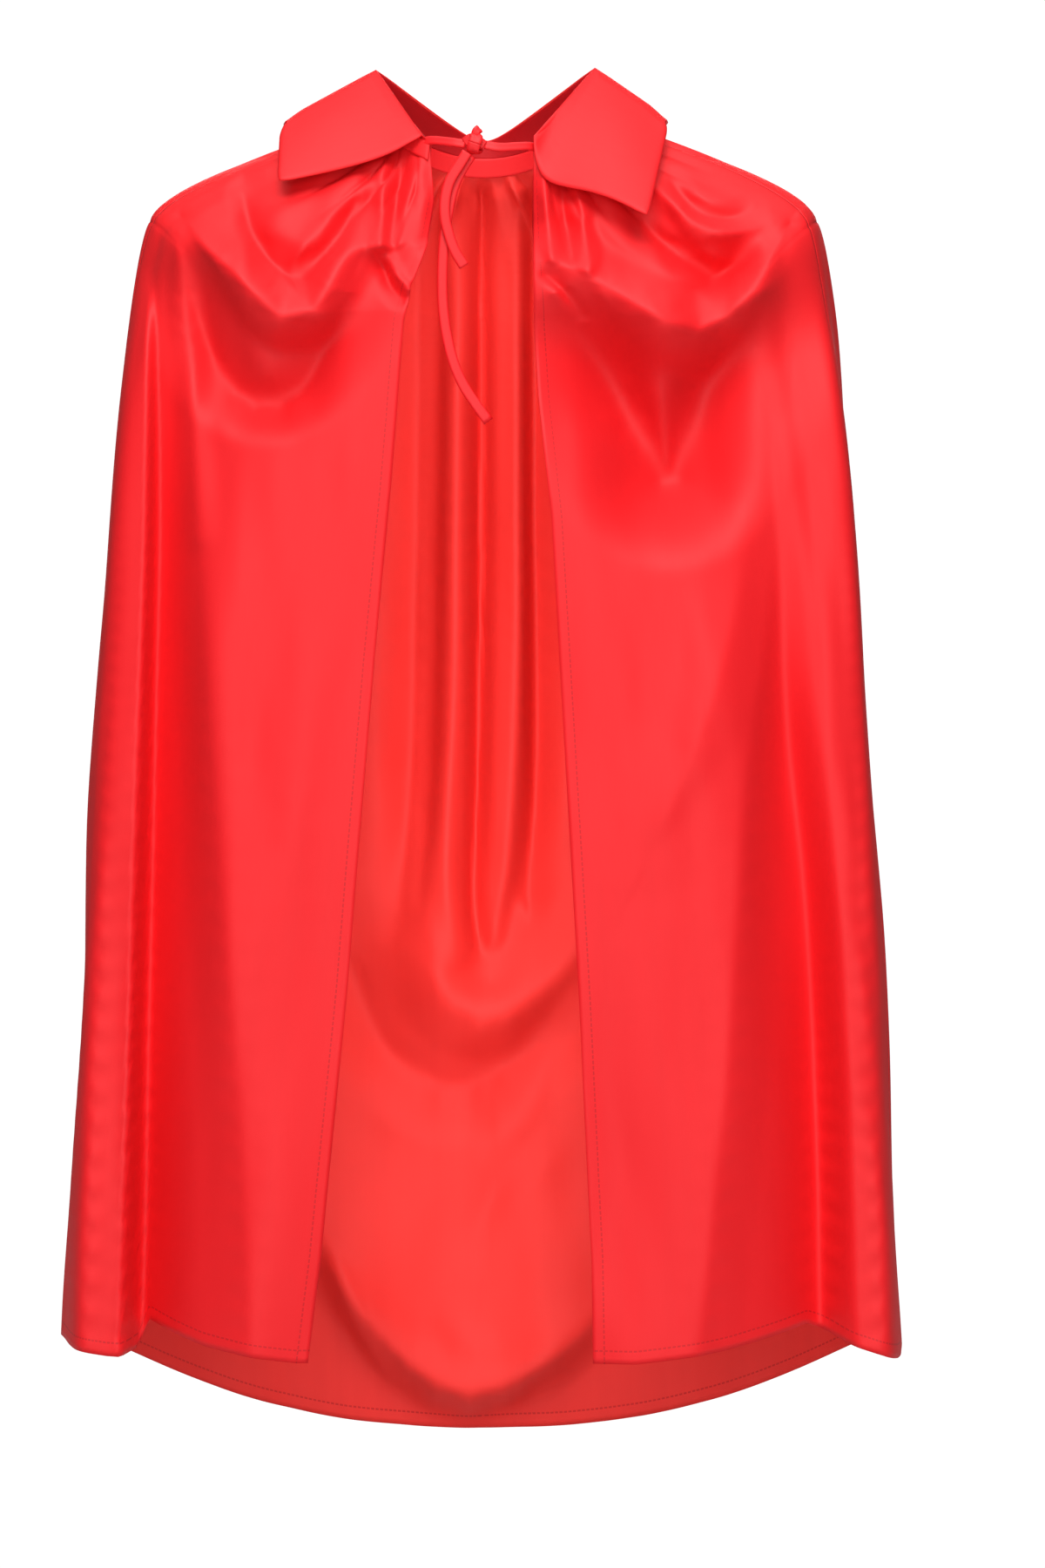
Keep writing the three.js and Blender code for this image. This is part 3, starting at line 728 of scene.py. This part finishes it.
def makeCape():
    grid, downs = makeCloth()
    leftColumn = round(sideCut["left"] * cape["columns"])
    rightColumn = round(sideCut["right"] * cape["columns"])
    last = cape["columns"] - 1
    back = cutPiece("capeBack", grid, downs, leftColumn, rightColumn)
    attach(back, "root")
    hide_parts("back_panel")
    left = cutPiece("capeLeftFront", grid, downs, 0, leftColumn)
    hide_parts("left_front", "left_side", "left_shoulder")
    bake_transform(left)
    right = cutPiece("capeRightFront", grid, downs, rightColumn, last)
    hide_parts("right_front", "right_side", "right_shoulder")
    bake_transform(right)


makeCape()
print("cape made")


# the turned-down leaf; droop is how far its front edge hangs and how far down that edge it hangs most
leaf = dict(thickness=0.0026, offset=0.0018, crown=0.004, columns=60, backColumns=120, rows=48, edge=0.05,
            droop=dict(left=(0.006, 0.38), right=(0.019, 0.20)), droopAcross=0.35)
# roll, peak, tip and corner are a point's four corners; the back leaf has its own roll and edge
collar = dict(
    leftRoll=(-0.040, -0.064, 0.006), rightRoll=(0.034, -0.067, 0.005),
    leftPeak=(-0.072, 0, 0.059), rightPeak=(0.075, 0, 0.0605),
    leftTip=(-0.135, -0.074, -0.028), rightTip=(0.108, -0.101, -0.054),
    leftCorner=(-0.135, -0.028, 0.020), rightCorner=(0.125, -0.024, 0.022),
    backRoll=(0, 0.070, 0.020), backEdge=(0, 0.114, -0.036), rollRound=0.15, leafRise=1.3,
)
collar = {k: np.array(v, float) if isinstance(v, tuple) else v for k, v in collar.items()}
rounding = dict(corner=(0.020, 0.0045), tip=(0.010, 0.0025), peak=(0.016, 0.0009))  # reach and pull
band = dict(endX=0.034, thickness=0.0011, offset=0.0018, columns=160, rows=12, edge=0.02, foot=0.95)
stand = dict(thickness=0.0018, rows=16, top=0.02, reach=1.06)
bandEnd = math.pi - math.asin(band["endX"] / cape["neckHalfWidth"])


def mix(a, b, t):
    return a + (b - a) * np.asarray(t)[..., None]


def softenCorner(points, corner, inward, radius, amount):
    away = np.linalg.norm(points - corner, axis=-1)
    pull = np.clip(1 - away / radius, 0, 1) ** 1.6 * amount
    return points + (np.asarray(inward) * pull[..., None])


def unit(vector):
    vector = np.asarray(vector, float)
    return vector / np.linalg.norm(vector)


def softenLeaf(points):
    for side in ("left", "right"):
        corner, tip, peak, roll = (collar[side + part] for part in ("Corner", "Tip", "Peak", "Roll"))
        middle = (peak + tip) / 2
        points = softenCorner(points, corner, unit(middle - corner), *rounding["corner"])
        points = softenCorner(points, tip, unit(middle - tip), *rounding["tip"])
        points = softenCorner(points, peak, unit((corner + roll) / 2 - peak), *rounding["peak"])
    return points


def wingPatch(side, mirrored):
    roll, peak, tip, corner = (collar[side + part] for part in ("Roll", "Peak", "Tip", "Corner"))
    droop, lowest = leaf["droop"][side]

    def patch(u, v):
        fromFront = 1 - u if mirrored else u
        points = mix(mix(roll, peak, fromFront), mix(tip, corner, fromFront), v)
        share = v / lowest
        hang = droop * share * np.exp(1 - share) * (1 - fromFront) ** 3 * (1 - v ** 4)
        points = points + np.array([-leaf["droopAcross"] * np.sign(tip[0]), 0, -1]) * hang[..., None]
        return softenLeaf(points)
    return patch


def softShare(share):
    r = collar["rollRound"]
    return (np.hypot(share, r) - r) / (math.hypot(1, r) - r)


def rollLine(angle):
    left = angle < 0
    turn = np.abs(angle)
    quarter = np.pi / 2
    share = np.clip(turn / quarter, 0, 1)
    ahead = np.clip((turn - quarter) / (bandEnd - quarter), 0, 1)
    peak = np.where(left[..., None], collar["leftPeak"], collar["rightPeak"])
    front = np.where(left[..., None], collar["leftRoll"], collar["rightRoll"])
    behind = mix(collar["backRoll"], peak, softShare(share))
    behind[..., 0] = peak[..., 0] * share
    return np.where((turn > quarter)[..., None], mix(peak, front, ahead), behind)


def backLeafPatch(u, v):
    share = u * 2 - 1
    angle = share * np.pi / 2
    corner = np.where((share < 0)[..., None], collar["leftCorner"], collar["rightCorner"])
    across, along = np.sin(angle), np.cos(angle)
    edge = collar["backEdge"]
    outer = np.stack([
        np.abs(corner[..., 0]) * across,
        corner[..., 1] + (edge[1] - corner[..., 1]) * along,
        edge[2] + (corner[..., 2] - edge[2]) * np.abs(across) ** collar["leafRise"],
    ], -1)
    return softenLeaf(mix(rollLine(angle), outer, v))


slabShape = dict(thinEdge=0.25, joined=0.12)


# a sewn layer with body: thin at its edges, lifted off its patch except along the sides that are joined on
def slab(name, patch, columns, rows, thickness, offset, crown=0.0, edge=0.06, inner=None, joined=()):
    u, v = np.meshgrid(np.linspace(0, 1, columns), np.linspace(0, 1, rows))
    points = patch(u, v)
    normals = gridNormals(points)
    fromEdge = np.ones_like(u)
    lifted = np.ones_like(u)
    for side, distance in dict(start=u, end=1 - u, top=v, foot=1 - v).items():
        fromEdge = np.minimum(fromEdge, np.clip(distance / edge, 0, 1))
        if side in joined:
            lifted = np.minimum(lifted, smoothStep(distance, 0, slabShape["joined"]))
    plump = np.sqrt(1 - (1 - fromEdge) ** 2)
    half = thickness / 2 * (slabShape["thinEdge"] + (1 - slabShape["thinEdge"]) * plump)
    bulge = crown * np.sin(np.pi * u) * np.sin(np.pi * v)
    mid = points + normals * (offset * lifted + bulge)[..., None]
    top = mid + normals * half[..., None]
    low = mid - normals * half[..., None]
    size = rows * columns
    faces = gridFaces(rows, columns)
    border = [(0, c) for c in range(columns)] + [(r, columns - 1) for r in range(1, rows)]
    border += [(rows - 1, c) for c in range(columns - 2, -1, -1)] + [(r, 0) for r in range(rows - 2, 0, -1)]
    ids = [r * columns + c for r, c in border]
    rim = [(b, a, a + size, b + size) for a, b in zip(ids, ids[1:] + ids[:1])]
    allFaces = list(map(tuple, faces)) + [tuple(f[::-1] + size) for f in faces] + rim
    widthNow = np.linalg.norm(np.diff(points, axis=1), axis=2).sum(1).mean()
    heightNow = np.linalg.norm(np.diff(points, axis=0), axis=2).sum(0).mean()
    uv = np.stack([u.ravel() * widthNow, -v.ravel() * heightNow], 1)
    obj = makeMesh(name, np.vstack([top.reshape(-1, 3), low.reshape(-1, 3)]), allFaces, np.vstack([uv, uv]))
    obj.data.materials.append(satin)
    if inner:
        obj.data.materials.append(inner)
        for polygon in list(obj.data.polygons)[len(faces):2 * len(faces)]:
            polygon.material_index = 1
    return obj


def makeCollar():
    left = slab("collarLeftPoint", wingPatch("left", False), leaf["columns"], leaf["rows"],
                leaf["thickness"], leaf["offset"], leaf["crown"], inner=wrongSide, joined=("end", "top"))
    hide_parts("left_upper_collar", "left_collar_interfacing", "left_under_collar")
    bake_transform(left)
    right = slab("collarRightPoint", wingPatch("right", True), leaf["columns"], leaf["rows"],
                 leaf["thickness"], leaf["offset"], leaf["crown"], inner=wrongSide, joined=("start", "top"))
    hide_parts("right_upper_collar", "right_collar_interfacing", "right_under_collar")
    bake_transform(right)
    back = slab("collarBack", backLeafPatch, leaf["backColumns"], leaf["rows"], leaf["thickness"],
                leaf["offset"], edge=leaf["edge"], inner=wrongSide, joined=("start", "end", "top"))
    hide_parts("back_upper_collar", "back_collar_interfacing", "back_under_collar")
    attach(back, "root")


def bandPatch(top, bottom):
    def patch(u, v):
        angle = (u * 2 - 1) * bandEnd
        rows = []
        for r in range(u.shape[0]):
            level = levelAt(cape["bandHeight"] * (top + (bottom - top) * v[r, 0]))
            rows.append(drapePoints(level, angle[r]))
        return np.array(rows)
    return patch


def standPatch(u, v):
    angle = (u * 2 - 1) * bandEnd
    foot = drapePoints(levelAt(0.0), angle)
    top = softenLeaf(rollLine(angle))
    return mix(top, foot, stand["top"] + stand["reach"] * v)


def makeNeckband():
    outer = slab("neckbandOutside", bandPatch(0.0, band["foot"]), band["columns"], band["rows"],
                 band["thickness"], band["offset"], edge=band["edge"])
    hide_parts("neckband")
    inner = slab("neckbandInside", bandPatch(0.0, 1.0), band["columns"], band["rows"],
                 band["thickness"], -band["offset"], edge=band["edge"])
    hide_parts("neckband_facing")
    # the stand's inner face wears the deeper red of painted shade, for the shade inside the neck opening
    upright = slab("collarStand", standPatch, band["columns"], stand["rows"], stand["thickness"], 0.0,
                   edge=band["edge"], inner=standFacingPaintedShade)
    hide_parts("collar_stand")
    for piece, slotName in ((outer, "satin"), (inner, "facing"), (upright, "facing")):
        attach(piece, "root")


makeCollar()
makeNeckband()
print("collar and neckband made")


# the knot: a strap wound round, the strap that comes through it, and the ear that stands out on top
knot = dict(
    centre=(-0.005, -0.072, -0.001), halfWidth=0.0012, halfDepth=0.0048, halfHeight=0.0058,
    wrapSteps=40, wrapWidth=0.0085, wrapThickness=0.0026,
    through=[(-0.0065, 0.001, 0.001), (-0.002, 0.0, 0.0035), (0.003, 0.0, 0.001), (0.006, 0.0005, -0.001)],
    throughSteps=24, throughThickness=0.0055,
    ear=[(0.000, 0.000, 0.004), (0.001, -0.001, 0.008), (0.003, 0.000, 0.010)],
    earSteps=16, earWidth=0.006, earThickness=0.003,
)
straps = dict(
    left=[(-0.040, -0.060, 0.002), (-0.033, -0.064, 0.0025), (-0.020, -0.070, 0.0005),
          (-0.0115, -0.072, -0.001)],
    right=[(0.036, -0.060, -0.002), (0.029, -0.065, -0.0015), (0.012, -0.071, -0.003),
           (0.0015, -0.072, -0.0015)],
    steps=30, facing=(0, -1, 0.2), width=0.006,
)


def makeKnot():
    k = knot
    centre = np.array(k["centre"])
    turn = np.linspace(0, 2 * np.pi, 9)
    wrap = [centre + np.array([k["halfWidth"] * math.sin(2 * a), -k["halfDepth"] * math.cos(a),
                               k["halfHeight"] * math.sin(a)]) for a in turn]
    outward = [(p - centre) / np.linalg.norm(p - centre) for p in smoothPath(wrap, k["wrapSteps"])]
    loop, _ = sweepStrap("knotWrap", wrap, k["wrapSteps"], outward, k["wrapWidth"], k["wrapThickness"])
    core = [centre + np.array(p) for p in k["through"]]
    through, _ = sweepStrap("knotThrough", core, k["throughSteps"], (0, -1, 0),
                            thickness=k["throughThickness"])
    ear = [centre + np.array(p) for p in k["ear"]]
    bump, _ = sweepStrap("knotEar", ear, k["earSteps"], (0, -1, 0), k["earWidth"], k["earThickness"])
    for piece in (loop, through, bump):
        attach(piece, "root")
    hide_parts("tie_knot")


def makeStraps():
    s = straps
    left, _ = sweepStrap("leftTieStrap", s["left"], s["steps"], s["facing"], s["width"])
    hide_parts("left_tie")
    right, _ = sweepStrap("rightTieStrap", s["right"], s["steps"], s["facing"], s["width"])
    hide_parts("right_tie")
    for piece in (left, right):
        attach(piece, "root")


makeKnot()
makeStraps()
print("knot and straps made")


# the floor and the surround look white to the camera, and light the cape less than they look
studio = dict(
    floorDrop=0.10, floorRadius=2.4, floorSides=96, floorColor=(0.6, 0.6, 0.6, 1), floorRough=0.9,
    white=(1, 1, 1, 1), shown=1.05, surround=0.12, middle=(0, 0, -0.45),
    insidePlace=(0.0, -0.06, -0.41), insideAim=(0, 0.1, -0.41), insideSize=(0.10, 0.72), insidePower=0.42,
)


def areaLight(name, place, aim, size, power):
    data = bpy.data.lights.new(name, "AREA")
    data.shape = "RECTANGLE"
    data.size, data.size_y = size
    data.energy = power
    lamp = bpy.data.objects.new(name, data)
    scene.collection.objects.link(lamp)
    lamp.location = place
    lamp.rotation_euler = (Vector(aim) - Vector(place)).to_track_quat("-Z", "Y").to_euler()
    return lamp


# shows one shader to the camera and another to everything else
def showToCamera(tree, shown, lit, sink):
    path = tree.nodes.new("ShaderNodeLightPath")
    blend = tree.nodes.new("ShaderNodeMixShader")
    tree.links.new(path.outputs["Is Camera Ray"], blend.inputs[0])
    tree.links.new(lit.outputs[0], blend.inputs[1])
    tree.links.new(shown.outputs[0], blend.inputs[2])
    tree.links.new(blend.outputs[0], sink.inputs[0])


def makeFloor():
    height = cadLow.z - studio["floorDrop"]
    radius = studio["floorRadius"]
    turn = np.linspace(0, 2 * np.pi, studio["floorSides"], endpoint=False)
    rim = [(radius * math.cos(a), radius * math.sin(a), height) for a in turn]
    floor = makeMesh("floor", rim, [range(len(rim))], smooth=False)
    paint = bpy.data.materials.new("palePaint")
    paint.use_nodes = True
    nodes = paint.node_tree.nodes
    shader = nodes["Principled BSDF"]
    shader.inputs["Base Color"].default_value = studio["floorColor"]
    shader.inputs["Roughness"].default_value = studio["floorRough"]
    bright = nodes.new("ShaderNodeEmission")
    bright.inputs["Color"].default_value = studio["white"]
    bright.inputs["Strength"].default_value = studio["shown"]
    showToCamera(paint.node_tree, bright, shader, nodes["Material Output"])
    floor.data.materials.append(paint)


def makeSurround():
    world = bpy.data.worlds.new("studioWorld")
    scene.world = world
    world.use_nodes = True
    nodes = world.node_tree.nodes
    light = nodes["Background"]
    light.inputs["Color"].default_value = studio["white"]
    light.inputs["Strength"].default_value = studio["surround"]
    seen = nodes.new("ShaderNodeBackground")
    seen.inputs["Color"].default_value = studio["white"]
    seen.inputs["Strength"].default_value = studio["shown"]
    showToCamera(world.node_tree, seen, light, nodes["World Output"])


def makeStudio():
    makeFloor()
    makeSurround()
    middle = studio["middle"]
    areaLight("keyLight", (0.0, -2.0, 1.75), middle, (1.8, 1.2), 64)
    areaLight("fillLight", (0.0, -3.3, -0.2), middle, (2.2, 1.8), 44)
    areaLight("topLight", (0.0, -0.4, 1.9), (0, 0, 0), (2.4, 1.8), 30)
    areaLight("backLight", (0.0, 2.6, 0.5), middle, (1.8, 2.0), 32)
    inside = areaLight("insideLight", studio["insidePlace"], studio["insideAim"], studio["insideSize"],
                       studio["insidePower"])
    inside.visible_camera = False
    scene.view_settings.view_transform = "Standard"
    scene.view_settings.look = "None"


makeStudio()
print("studio made")
